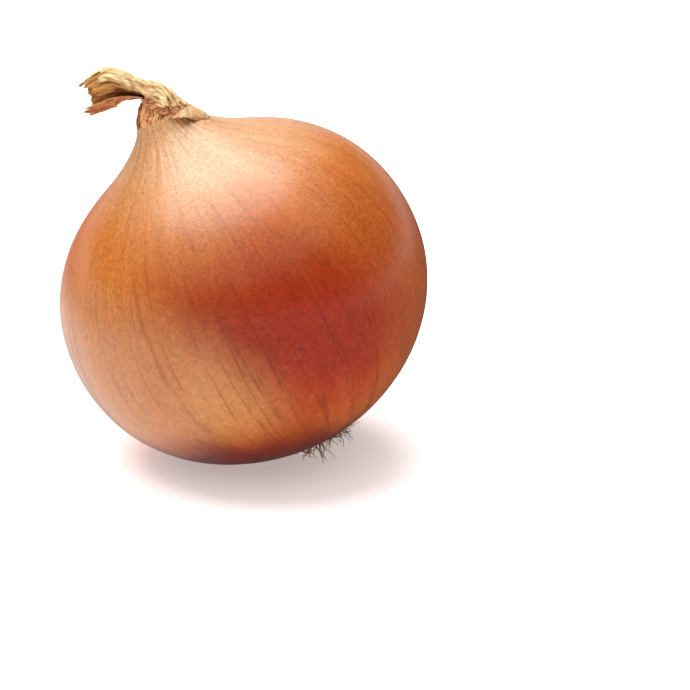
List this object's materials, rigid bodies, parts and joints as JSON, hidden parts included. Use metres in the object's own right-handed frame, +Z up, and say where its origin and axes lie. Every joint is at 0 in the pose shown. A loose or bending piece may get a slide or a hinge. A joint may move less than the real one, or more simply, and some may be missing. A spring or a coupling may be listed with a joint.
{
  "type": "onion",
  "caption": "Dry yellow onion, whole, leaning on a small flat spot: a squat round bulb in papery skin with a withered folded leaf tail, a torn skin flap and a dead root tuft.",
  "frame": {"origin": "middle of the flat spot that the bulb rests on", "axes": "+Z up from the resting surface, the bulb's axis leans 25 degrees from +Z towards -X, so the leaf tail points to -X and the root tuft lies under +X"},
  "size_m": [0.0783, 0.0806, 0.0866],
  "materials": {
    "bulb_skin": "satin",
    "dry_leaf": "matte",
    "loose_skin": "matte",
    "dry_root": "matte"
  },
  "bodies": {
    "root": {"bulb": "bulb_skin", "dry_leaf_tail": "dry_leaf", "torn_skin_flap": "loose_skin", "root_tuft": "dry_root"}
  },
  "joints": []
}
